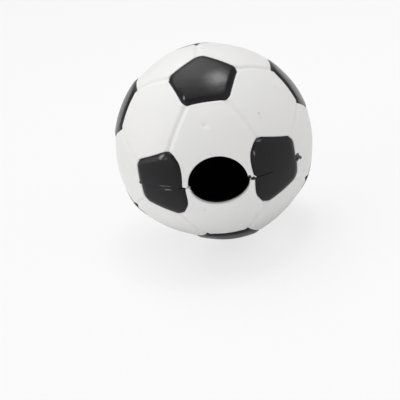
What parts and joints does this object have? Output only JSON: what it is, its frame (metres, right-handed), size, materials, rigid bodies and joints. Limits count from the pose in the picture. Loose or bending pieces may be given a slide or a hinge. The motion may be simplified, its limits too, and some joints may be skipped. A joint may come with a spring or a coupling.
{
  "type": "treat dispensing ball",
  "caption": "Hollow white pet toy ball with raised black pentagon panels in a football pattern and an oval hole that drops treats as it rolls.",
  "frame": {"origin": "centre of the ball", "axes": "+Z square to the parting plane between the two halves, towards the upper half; -Y out through the treat hole; +X to the right as the hole is looked into"},
  "size_m": [0.0882, 0.087, 0.0882],
  "materials": {
    "white_cover": "satin moulded white vinyl",
    "black_panel": "smooth satin black vinyl",
    "black_shell": "matt black"
  },
  "bodies": {
    "root": {"cover_upper": "white_cover", "cover_lower": "white_cover", "inner_shell_upper": "black_shell", "inner_shell_lower": "black_shell", "panel_top_front": "black_panel", "panel_top_back": "black_panel", "panel_bottom_front": "black_panel", "panel_bottom_back": "black_panel", "panel_left_upper": "black_panel", "panel_right_upper": "black_panel", "panel_left_lower": "black_panel", "panel_right_lower": "black_panel", "panel_front_left_upper": "black_panel", "panel_front_left_lower": "black_panel", "panel_front_right_upper": "black_panel", "panel_front_right_lower": "black_panel", "panel_back_left_upper": "black_panel", "panel_back_left_lower": "black_panel", "panel_back_right_upper": "black_panel", "panel_back_right_lower": "black_panel"}
  },
  "joints": []
}
